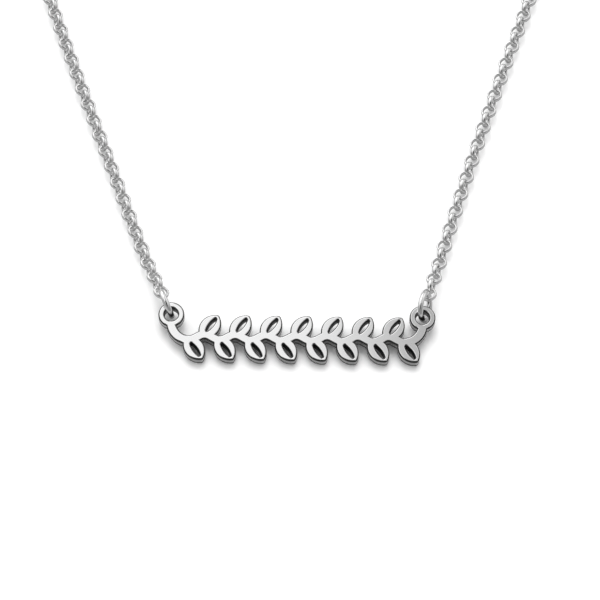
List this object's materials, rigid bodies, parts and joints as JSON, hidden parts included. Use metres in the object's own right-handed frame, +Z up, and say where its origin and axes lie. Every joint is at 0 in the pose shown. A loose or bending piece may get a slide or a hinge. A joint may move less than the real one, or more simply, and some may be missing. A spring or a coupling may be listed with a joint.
{
  "type": "nameplate necklace",
  "caption": "Fine rolo-chain necklace with a small pierced bar plate hung from jump rings at its two top corners and closed by a spring ring clasp.",
  "frame": {"origin": "middle of the laid-out necklace, on the surface that it lies on", "axes": "+Z up from the surface, +Y from the nameplate at the front to the clasp at the back, +X to the reader's right of the nameplate"},
  "size_m": [0.1073, 0.1864, 0.004],
  "materials": {
    "plate": "sterling silver, flat face polished bright, edges softened by tumbling, sawn walls darker",
    "rings": "sterling silver round wire, polished",
    "chain": "sterling silver round links of flattened wire, polished",
    "clasp": "sterling silver tube, polished"
  },
  "bodies": {
    "root": {"nameplate": "plate", "jump_ring_left": "rings", "jump_ring_right": "rings", "chain_left": "chain", "chain_right": "chain", "spring_clasp": "clasp", "clasp_jump_ring": "rings", "end_ring": "rings"}
  },
  "joints": []
}
